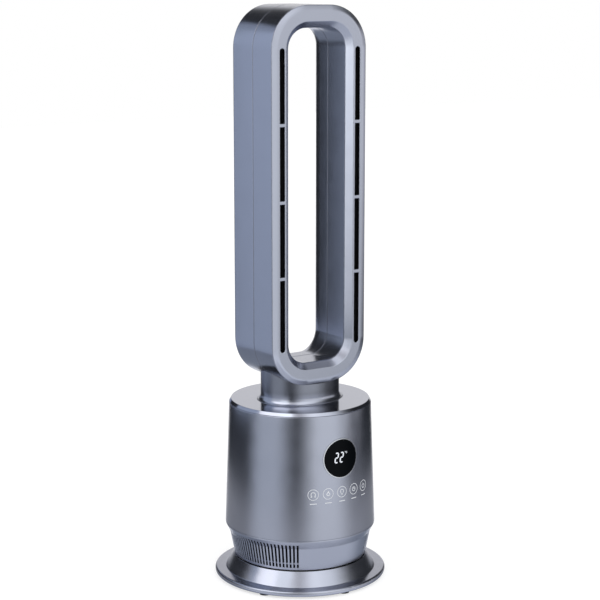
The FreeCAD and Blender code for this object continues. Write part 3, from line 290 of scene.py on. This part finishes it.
finish = {
    "paint": makePaint("satinPaint", paintSpec),
    "channelPaint": makePaint("satinPaintLoopShaded", paintSpec, channel=channelSpec),
    "glossPaint": makePaint("glossPaintDisc", paintSpec, rough=discRough),
    "neckShadedPaint": makePaint("satinPaintNeckShaded", paintSpec, shade=neckShade),
    "bezelPaint": makePaint("satinPaintBezel", dict(paintSpec, edge=bezelEdge)),
    "blackPlastic": makePlain("blackGrainPlastic", (0.018, 0.018, 0.02), 0.55),
    "innerBlack": makePlain("innerBlackPlastic", (0.008, 0.008, 0.009), 0.7),
    "rubber": makePlain("blackRubber", (0.012, 0.012, 0.012), 0.8, grainScale=500.0, grainStrength=0.2),
    "plate": makePlain("powderCoat", (0.03, 0.03, 0.033), 0.6, grainScale=1400.0, grainStrength=0.3),
    "iron": makePlain("castIron", (0.10, 0.10, 0.105), 0.7, metal=0.6, grainScale=300.0, grainStrength=0.4),
    "zinc": makePlain("zincScrew", (0.55, 0.55, 0.57), 0.32, metal=1.0),
    "steel": makeTurned("turnedSteel", (0.58, 0.58, 0.6), 0.28, 260.0),
    "bronze": makeTurned("sinteredBronze", (0.48, 0.30, 0.13), 0.4, 180.0),
    "acetal": makePlain("whiteAcetal", (0.72, 0.72, 0.68), 0.42, vary=0.04),
    "greyPlastic": makePlain("greyFanPlastic", (0.12, 0.125, 0.135), 0.45),
    "alloy": makePlain("castAlloy", (0.5, 0.51, 0.53), 0.42, metal=1.0, grainStrength=0.2),
    # painted shade: the aluminium heater fins are drawn near black, as the shade inside the outlets
    "fins": makePlain("finsPaintedShade", (0.02, 0.02, 0.022), 0.6, metal=0.3),
    "trim": makePlain("brightTrim", (0.70, 0.71, 0.74), 0.16, metal=1.0, grainStrength=0.02),
    "window": makePlain("darkWindow", (0.0022, 0.0028, 0.0036), 0.06, grainStrength=0.01, gloss=0.05),
    "board": makeBoard("greenBoard", boardSpec),
    "print": makePlain("keyPrint", (0.66, 0.68, 0.72), 0.45, vary=0.05),
    "digits": makeGlow("litDigits", glowSpec),
}

nodeFinish = {
    "paint": ["base_cover", "intake_grille", "barrel"],
    "bezelPaint": ["front_bezel"],
    "neckShadedPaint": ["neck_collar"],
    "channelPaint": ["loop_front_shell", "loop_rear_shell"],
    "glossPaint": ["top_cap"],
    "blackPlastic": ["turntable", "tilt_switch"],
    "innerBlack": ["fan_duct", "diffuser", "display_housing"],
    "rubber": ["rubber_feet", "cord_gland", "duct_seal", "motor_cushion"],
    "plate": ["base_plate"],
    "iron": ["ballast_ring"],
    "zinc": ["base_screws", "stepper_screws", "turntable_screws", "thermal_cutouts"],
    "steel": ["pivot_post", "retaining_washer", "motor_shaft"],
    "bronze": ["swivel_bush"],
    "acetal": ["swivel_bearing", "fixed_gear", "oscillation_pinion"],
    "greyPlastic": ["impeller"],
    "alloy": ["stepper_motor", "fan_motor"],
    "fins": ["heater_left", "heater_right"],
    "trim": ["display_rim"],
    "window": ["display_lens"],
    "board": ["display_board", "touch_board", "control_board"],
}


def dress(item, material):
    item.data.materials.clear()
    item.data.materials.append(material)


for kind, members in nodeFinish.items():
    for member in members:
        dress(nodes[member], finish[kind])
print("finishes on", sum(len(members) for members in nodeFinish.values()), "nodes")

# curved mouldings are shown by merged copies of the solids, shaded smooth up to a sharp edge
smoothSpec = {"merge": 0.004 * mm, "sharp": 24.0, "flatFront": ["front_bezel"], "flatLimit": -0.999,
              "flatLayer": "__mod_weightednormals_faceweight", "flatWeight": 16384,
              "pieces": ["base_cover", "intake_grille", "barrel", "top_cap", "neck_collar",
                         "loop_front_shell", "loop_rear_shell", "front_bezel", "display_lens", "display_rim"]}


def addMeshObject(name, mesh, material, body):
    item = bpy.data.objects.new(name, mesh)
    bpy.context.scene.collection.objects.link(item)
    dress(item, material)
    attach(item, body)
    return item


def smoothCopy(node, spec):
    source = nodes[node]
    mesh = source.data.copy()
    mesh.name = node + "Skin"
    build = bmesh.new()
    build.from_mesh(mesh)
    bmesh.ops.remove_doubles(build, verts=build.verts, dist=spec["merge"])
    limit = math.radians(spec["sharp"])
    for edge in build.edges:
        edge.smooth = len(edge.link_faces) == 2 and edge.calc_face_angle(0.0) < limit
    for face in build.faces:
        face.smooth = True
    if node in spec["flatFront"]:
        # the flat face keeps its normal, and the slope beside it rolls away from it
        weight = build.faces.layers.int.new(spec["flatLayer"])
        build.normal_update()
        for face in build.faces:
            face[weight] = spec["flatWeight"] if face.normal.y < spec["flatLimit"] else 0
    build.to_mesh(mesh)
    build.free()
    item = addMeshObject(node + "Skin", mesh, source.data.materials[0], bodyOf[node])
    weighted = item.modifiers.new("evenNormals", "WEIGHTED_NORMAL")
    weighted.keep_sharp = True
    weighted.use_face_influence = node in spec["flatFront"]
    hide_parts(node)
    return item


for member in smoothSpec["pieces"]:
    smoothCopy(member, smoothSpec)
print("smooth skins made:", len(smoothSpec["pieces"]))


# printed and lit marks are drawn flat, in millimetres across and up from the display's middle,
# and wrapped round the barrel by nodes
barrelSpec = {"Foot Radius": 109.4 * mm, "Foot Height": 80.4 * mm, "Taper": 6.3 / 178.6, "Middle": 196.2 * mm}
wrapSockets = {"Count": "Int", "Pitch": "Float", "Lift": "Float", "Foot Radius": "Float",
               "Foot Height": "Float", "Taper": "Float", "Middle": "Float", "Finish": "Material"}


def wrapTree(sockets):
    # repeats flat marks in a row and lays them round the tapered barrel
    tree = bpy.data.node_groups.new("wrapOnBarrel", "GeometryNodeTree")
    face = tree.interface
    face.new_socket("Geometry", in_out="INPUT", socket_type="NodeSocketGeometry")
    names = {}
    for name, kind in sockets.items():
        names[name] = face.new_socket(name, in_out="INPUT", socket_type="NodeSocket" + kind).identifier
    face.new_socket("Geometry", in_out="OUTPUT", socket_type="NodeSocketGeometry")
    given = addNode(tree, "NodeGroupInput").outputs
    gaps = mathNode(tree, "SUBTRACT", given["Count"], 1.0)
    begin = mathNode(tree, "MULTIPLY", mathNode(tree, "MULTIPLY", gaps, given["Pitch"]), -0.5)
    start = addNode(tree, "ShaderNodeCombineXYZ", {"X": begin}).outputs[0]
    offset = addNode(tree, "ShaderNodeCombineXYZ", {"X": given["Pitch"]}).outputs[0]
    line = addNode(tree, "GeometryNodeMeshLine",
                   {"Count": given["Count"], "Start Location": start, "Offset": offset}).outputs[0]
    row = addNode(tree, "GeometryNodeInstanceOnPoints",
                  {"Points": line, "Instance": given["Geometry"]}).outputs[0]
    marks = addNode(tree, "GeometryNodeRealizeInstances", {"Geometry": row}).outputs[0]
    flat = splitAxes(tree, addNode(tree, "GeometryNodeInputPosition").outputs[0])
    height = mathNode(tree, "ADD", flat["Y"], given["Middle"])
    rise = mathNode(tree, "SUBTRACT", height, given["Foot Height"])
    narrowing = mathNode(tree, "MULTIPLY", rise, given["Taper"])
    radius = mathNode(tree, "SUBTRACT", given["Foot Radius"], narrowing)
    angle = mathNode(tree, "DIVIDE", flat["X"], radius)
    reach = mathNode(tree, "ADD", mathNode(tree, "ADD", radius, flat["Z"]), given["Lift"])
    across = mathNode(tree, "MULTIPLY", reach, mathNode(tree, "SINE", angle))
    ahead = mathNode(tree, "MULTIPLY", reach, mathNode(tree, "COSINE", angle))
    back = mathNode(tree, "MULTIPLY", ahead, -1.0)
    place = addNode(tree, "ShaderNodeCombineXYZ", {"X": across, "Y": back, "Z": height}).outputs[0]
    laid = addNode(tree, "GeometryNodeSetPosition", {"Geometry": marks, "Position": place}).outputs[0]
    done = addNode(tree, "GeometryNodeSetMaterial", {"Geometry": laid, "Material": given["Finish"]})
    out = addNode(tree, "NodeGroupOutput")
    fill(tree, out.inputs[0], done.outputs[0])
    return tree, names


wrap, wrapInputs = wrapTree(wrapSockets)


def wrapMarks(name, draw, material, count=1, pitch=0.0, lift=0.0):
    build = bmesh.new()
    draw(build)
    bmesh.ops.recalc_face_normals(build, faces=build.faces)
    mesh = bpy.data.meshes.new(name)
    build.to_mesh(mesh)
    build.free()
    item = bpy.data.objects.new(name, mesh)
    bpy.context.scene.collection.objects.link(item)
    step = item.modifiers.new("wrap", "NODES")
    step.node_group = wrap
    for key, value in dict(barrelSpec, Count=count, Pitch=pitch * mm, Lift=lift, Finish=material).items():
        step[wrapInputs[key]] = value
    shown = item.evaluated_get(bpy.context.evaluated_depsgraph_get())
    plain = bpy.data.meshes.new_from_object(shown)
    item.modifiers.clear()
    item.data = plain
    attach(item, bodyOf["barrel"])
    return item


def extrudeLoop(build, points, thick):
    low = [build.verts.new((x * mm, y * mm, 0)) for x, y in points]
    high = [build.verts.new((x * mm, y * mm, thick * mm)) for x, y in points]
    build.faces.new(high)
    build.faces.new(list(reversed(low)))
    for k in range(len(points)):
        after = (k + 1) % len(points)
        build.faces.new((low[k], low[after], high[after], high[k]))


def drawBand(build, x, y, inner, outer, start, end, thick, steps=40):
    # part of a flat ring, from start to end in degrees
    whole = end - start >= 360
    count = steps if whole else steps + 1
    rings = []
    for k in range(count):
        angle = math.radians(start + (end - start) * k / steps)
        along, up = math.cos(angle), math.sin(angle)
        rings.append([build.verts.new(((x + r * along) * mm, (y + r * up) * mm, z * mm))
                      for r, z in ((inner, 0), (outer, 0), (outer, thick), (inner, thick))])
    for k in range(count if whole else count - 1):
        here, there = rings[k], rings[(k + 1) % count]
        for j in range(4):
            after = (j + 1) % 4
            build.faces.new((here[j], here[after], there[after], there[j]))
    if not whole:
        build.faces.new(rings[0])
        build.faces.new(list(reversed(rings[-1])))


def drawBar(build, x0, y0, x1, y1, width, thick, steps=1):
    run = Vector((x1 - x0, y1 - y0))
    side = Vector((-run.y, run.x)).normalized() * (width / 2)
    low = [Vector((x0, y0)) + run * (k / steps) for k in range(steps + 1)]
    points = [tuple(p - side) for p in low] + [tuple(p + side) for p in reversed(low)]
    extrudeLoop(build, points, thick)


# two lit figures, each with five of seven bars on, and the degree mark with its letter
digitSpec = {"count": 2, "lit": "abged", "width": 6.3, "height": 15.4, "stroke": 1.8, "gap": 0.12,
             "slant": 0.11, "first": -7.8, "pitch": 8.4, "up": 1.4, "thick": 0.10, "lift": 0.03 * mm}
# across, up, inner and outer radius, first and last angle
unitSpec = {"ring": (7.0, 8.3, 0.35, 0.75, 0, 360), "arc": (9.4, 7.3, 0.85, 1.4, 45.0, 315.0), "steps": 20}


def drawDigit(build, x, spec):
    # bars with pointed ends, leaning to the right
    w, h, t = spec["width"] - spec["stroke"], spec["height"] - spec["stroke"], spec["stroke"] / 2
    bars = {"a": (-w / 2, h / 2, w / 2, h / 2), "b": (w / 2, h / 2, w / 2, 0), "g": (-w / 2, 0, w / 2, 0),
            "e": (-w / 2, 0, -w / 2, -h / 2), "d": (-w / 2, -h / 2, w / 2, -h / 2)}
    for name in spec["lit"]:
        x0, y0, x1, y1 = bars[name]
        run = Vector((x1 - x0, y1 - y0)).normalized()
        side = Vector((-run.y, run.x)) * t
        a, b = Vector((x0, y0)) + run * spec["gap"], Vector((x1, y1)) - run * spec["gap"]
        points = [a, a + run * t - side, b - run * t - side, b, b - run * t + side, a + run * t + side]
        extrudeLoop(build, [(x + p.x + p.y * spec["slant"], spec["up"] + p.y) for p in points], spec["thick"])


def drawDisplay(build):
    for k in range(digitSpec["count"]):
        drawDigit(build, digitSpec["first"] + k * digitSpec["pitch"], digitSpec)
    for mark in ("ring", "arc"):
        drawBand(build, *unitSpec[mark], digitSpec["thick"], unitSpec["steps"])


# five touch keys: a ring, a dash below it and a plain symbol in it
keySpec = {"count": 5, "pitch": 22.13, "up": -48.7, "inner": 7.3, "outer": 8.0, "steps": 56,
           "thick": 0.08, "lift": 0.02 * mm}
dashSpec = {"up": -61.9, "length": 10.0, "height": 1.1, "steps": 8}
# strokes by key, in millimetres from its middle: band is across, up, two radii and two angles,
# bar is two ends and a width, wedge is three corners
iconSpec = {
    "swing": (-2, [("band", (0, 0.4, 2.7, 3.7, -52, 232)), ("bar", (-1.5, -2.9, -3.9, -2.9, 1.0)),
                   ("bar", (1.5, -2.9, 3.9, -2.9, 1.0))]),
    "heat": (-1, [("band", (0, -0.6, 1.7, 2.8, 0, 360)), ("wedge", (-1.4, 2.4, 1.4, 2.4, 0, 4.4))]),
    "lamp": (0, [("band", (0, 0.9, 2.2, 3.1, -55, 235)), ("bar", (-1.5, -2.6, 1.5, -2.6, 0.9)),
                 ("bar", (-0.9, -4.0, 0.9, -4.0, 0.9))]),
    "timer": (1, [("band", (0, 0, 2.5, 3.3, 0, 360)), ("bar", (0, -0.3, 0, 2.2, 0.8)),
                  ("bar", (0.5, 0, 1.9, 0, 0.8))]),
    "onOff": (2, [("band", (0, -0.3, 2.4, 3.3, 122, 418)), ("bar", (0, 0.9, 0, 3.9, 0.9))]),
}


def drawRing(build):
    spec = keySpec
    drawBand(build, 0, spec["up"], spec["inner"], spec["outer"], 0, 360, spec["thick"], spec["steps"])


def drawDash(build):
    half, up = dashSpec["length"] / 2, dashSpec["up"]
    drawBar(build, -half, up, half, up, dashSpec["height"], keySpec["thick"], dashSpec["steps"])


def drawIcons(build):
    up, thick = keySpec["up"], keySpec["thick"]
    for key, strokes in iconSpec.values():
        x = key * keySpec["pitch"]
        for kind, shape in strokes:
            if kind == "band":
                drawBand(build, x + shape[0], up + shape[1], *shape[2:], thick)
            elif kind == "bar":
                drawBar(build, x + shape[0], up + shape[1], x + shape[2], up + shape[3], shape[4], thick)
            else:
                extrudeLoop(build, [(x + a, up + b) for a, b in zip(shape[::2], shape[1::2])], thick)


wrapMarks("displayDigits", drawDisplay, finish["digits"], lift=digitSpec["lift"])
wrapMarks("keyRings", drawRing, finish["print"], keySpec["count"], keySpec["pitch"], keySpec["lift"])
wrapMarks("keyDashes", drawDash, finish["print"], keySpec["count"], keySpec["pitch"], keySpec["lift"])
wrapMarks("keyIcons", drawIcons, finish["print"], lift=keySpec["lift"])
print("display and keys marked")


# studio: white to the camera and to matt surfaces, soft boxes in a dark room to reflections
studio = {"white": 1.0, "room": (0.022, 0.024, 0.028),
          "floor": 14.0, "floorTone": (0.42, 0.42, 0.42), "floorGlow": 0.66, "floorRough": 0.9,
          "keyPower": 10.0, "keySize": 1.2, "keyPlace": (-0.6, -2.2, 2.4), "keyAim": (0, 0, 0.4),
          "sheen": (0.46, 0.80), "sheenHeight": 0.001, "sheenGlance": (0.56, 0.75), "sheenMix": 0.5,
          "sheenTone": (0.65, 0.66, 0.70)}
# soft boxes in degrees: turn and half width seen from the camera's side, width of the soft sides,
# low and high edge, height of the soft edges, and then the level
boxKeys = ("turn", "half", "soft", "low", "high", "fade", "tone")
softBoxes = {
    "left": (-52, 27, 34, -24, 80, 8, (0.44, 0.48, 0.54)),
    "leftUp": (-44, 32, 30, -9.5, 80, 5, (0.27, 0.27, 0.28)),
    "leftHot": (-55, 40, 34, 22, 62, 16, (1.18, 1.15, 1.14)),
    "right": (43, 31, 40, -24, 80, 8, (0.76, 0.79, 0.82)),
    "rightUp": (52, 36, 36, -10.5, 80, 5, (0.24, 0.24, 0.24)),
    "rightEdge": (94, 20, 16, -9.5, 8, 7, (0.66, 0.66, 0.69)),
    "rightHot": (30, 26, 40, 22, 62, 16, (0.25, 0.25, 0.26)),
    "middleUp": (0, 26, 40, 24, 70, 16, (0.45, 0.45, 0.46)),
    "back": (180, 20, 14, -30, 24.5, 6, (0.84, 0.83, 0.83)),
    "above": (108, 60, 40, 48, 120, 14, (0.16, 0.17, 0.20)),
    "overhead": (180, 80, 40, 56, 120, 20, (0.50, 0.51, 0.54)),
    "floorFront": (16, 98, 50, -120, -20, 16, (0.45, 0.46, 0.48)),
    "floorAll": (0, 200, 10, -120, -20, 16, (0.24, 0.27, 0.33)),
}
# cards near the loop: the line that a flat surface mirrors leaves at turn, away runs along it and aside
# across it, height gives the card's foot and top, and rise its strength at both
cardKeys = ("turn", "away", "aside", "height", "tone", "rise")
cards = {
    "bevelTall": (-26, 0.70, (-0.15, 0.15), (0.22, 0.98), (0.935, 0.97, 1.0), (1.03, 2.35)),
    "leftTall": (-112.6, 0.40, (-0.36, 0.0), (0.19, 0.95), (0.48, 0.55, 0.69), (0.89, 1.13)),
    "leftRear": (-112.6, 0.40, (0.0, 0.09), (0.79, 0.95), (0.46, 0.53, 0.66), (1.0, 0.8)),
    "neckSide": (-112.6, 0.40, (0.0, 0.42), (0.19, 0.27), (0.30, 0.34, 0.46), (1.0, 1.0)),
    "leftTop": (-112.6, 0.40, (-0.36, 0.09), (0.95, 1.02), (0.36, 0.41, 0.52), (1.0, 1.0)),
}


def softEdge(tree, value, edge, fade, rising):
    ends = (edge - fade / 2, edge + fade / 2) if rising else (edge + fade / 2, edge - fade / 2)
    return mapRange(tree, value, (math.radians(ends[0]), math.radians(ends[1])), smooth=True)


def makeWorld(spec, boxes):
    world = bpy.data.worlds.new("studioWorld")
    bpy.context.scene.world = world
    world.use_nodes = True
    tree = world.node_tree
    axes = splitAxes(tree, addNode(tree, "ShaderNodeTexCoord").outputs["Generated"])
    turn = mathNode(tree, "ARCTAN2", axes[0], mathNode(tree, "MULTIPLY", axes[1], -1.0))
    lift = mathNode(tree, "ARCSINE", axes[2])
    total = addNode(tree, "ShaderNodeCombineXYZ", dict(zip("XYZ", spec["room"]))).outputs[0]
    for row in boxes.values():
        box = dict(zip(boxKeys, row))
        aim = math.radians(box["turn"] - shot["turn"])
        off = mathNode(tree, "ARCCOSINE", mathNode(tree, "COSINE", mathNode(tree, "SUBTRACT", turn, aim)))
        mask = mathNode(tree, "MULTIPLY", softEdge(tree, off, box["half"], box["soft"], False),
                        mathNode(tree, "MULTIPLY", softEdge(tree, lift, box["low"], box["fade"], True),
                                 softEdge(tree, lift, box["high"], box["fade"], False)))
        tone = addNode(tree, "ShaderNodeCombineXYZ", dict(zip("XYZ", box["tone"]))).outputs[0]
        lit = addNode(tree, "ShaderNodeVectorMath", {0: tone, "Scale": mask}, operation="SCALE").outputs[0]
        total = addNode(tree, "ShaderNodeVectorMath", {0: total, 1: lit}, operation="ADD").outputs[0]
    glossy = addNode(tree, "ShaderNodeLightPath").outputs["Is Glossy Ray"]
    white = (spec["white"],) * 3 + (1.0,)
    fill(tree, tree.nodes["Background"].inputs["Color"], mixColour(tree, glossy, white, total))


def plainSheet(name, corners):
    mesh = bpy.data.meshes.new(name)
    mesh.from_pydata([tuple(corner) for corner in corners], [], [tuple(range(len(corners)))])
    sheet = bpy.data.objects.new(name, mesh)
    bpy.context.scene.collection.objects.link(sheet)
    return sheet


def squareSheet(name, half, height):
    return plainSheet(name, [(x * half, y * half, height) for x, y in ((-1, -1), (1, -1), (1, 1), (-1, 1))])


def makeFloor(spec):
    floor = squareSheet("floor", spec["floor"] / 2, 0)
    material, tree, shader = newMaterial("paleFloor")
    fill(tree, shader.inputs["Base Color"], rgba(spec["floorTone"]))
    fill(tree, shader.inputs["Roughness"], spec["floorRough"])
    fill(tree, shader.inputs["Specular IOR Level"], 0.0)
    fill(tree, shader.inputs["Emission Color"], (1, 1, 1, 1))
    fill(tree, shader.inputs["Emission Strength"], spec["floorGlow"])
    floor.data.materials.append(material)
    floor.visible_glossy = False


def makeSheen(spec):
    # the pale floor close to the heater, as its lower surfaces mirror it at a glancing angle
    inner, outer = spec["sheen"]
    sheet = squareSheet("floorSheen", outer, spec["sheenHeight"])
    material, tree, shader = newMaterial("floorSheen")
    reach = addNode(tree, "ShaderNodeVectorMath", {0: objectCoords(tree)}, operation="LENGTH")
    near = mapRange(tree, reach.outputs["Value"], (outer, inner), (0.0, spec["sheenMix"]), smooth=True)
    facing = addNode(tree, "ShaderNodeLayerWeight", {"Blend": 0.5}).outputs["Facing"]
    amount = mathNode(tree, "MULTIPLY", near, mapRange(tree, facing, spec["sheenGlance"], smooth=True))
    glow = addNode(tree, "ShaderNodeEmission", {"Color": rgba(spec["sheenTone"])}).outputs[0]
    clear = addNode(tree, "ShaderNodeBsdfTransparent").outputs[0]
    mix = addNode(tree, "ShaderNodeMixShader", {0: amount, 1: clear, 2: glow})
    fill(tree, tree.nodes["Material Output"].inputs["Surface"], mix.outputs[0])
    sheet.data.materials.append(material)
    sheet.visible_camera = sheet.visible_diffuse = sheet.visible_shadow = False


def makeCard(name, spec):
    angle = math.radians(spec["turn"] - shot["turn"])
    along = Vector((math.sin(angle), -math.cos(angle), 0))
    across = Vector((along.y, -along.x, 0))
    ends = [along * spec["away"] + across * aside for aside in spec["aside"]]
    low, high = (Vector((0, 0, height)) for height in spec["height"])
    card = plainSheet(name, [ends[0] + low, ends[1] + low, ends[1] + high, ends[0] + high])
    material, tree, shader = newMaterial(name)
    glow = mapRange(tree, splitAxes(tree, objectCoords(tree))[2], spec["height"], spec["rise"])
    fill(tree, shader.inputs["Base Color"], (0, 0, 0, 1))
    fill(tree, shader.inputs["Specular IOR Level"], 0.0)
    fill(tree, shader.inputs["Emission Color"], rgba(spec["tone"]))
    fill(tree, shader.inputs["Emission Strength"], glow)
    card.data.materials.append(material)
    card.visible_camera = card.visible_diffuse = card.visible_shadow = False
    card.visible_transmission = card.visible_volume_scatter = False


def makeKeyLight(spec):
    data = bpy.data.lights.new("keyLight", "AREA")
    data.energy = spec["keyPower"]
    data.size = spec["keySize"]
    key = bpy.data.objects.new("keyLight", data)
    key.location = spec["keyPlace"]
    key.rotation_euler = (Vector(spec["keyAim"]) - key.location).to_track_quat("-Z", "Y").to_euler()
    key.visible_glossy = False
    bpy.context.scene.collection.objects.link(key)


makeWorld(studio, softBoxes)
makeFloor(studio)
makeSheen(studio)
makeKeyLight(studio)
for name, row in cards.items():
    makeCard(name, dict(zip(cardKeys, row)))
print("studio ready:", len(softBoxes), "soft boxes,", len(cards), "cards")
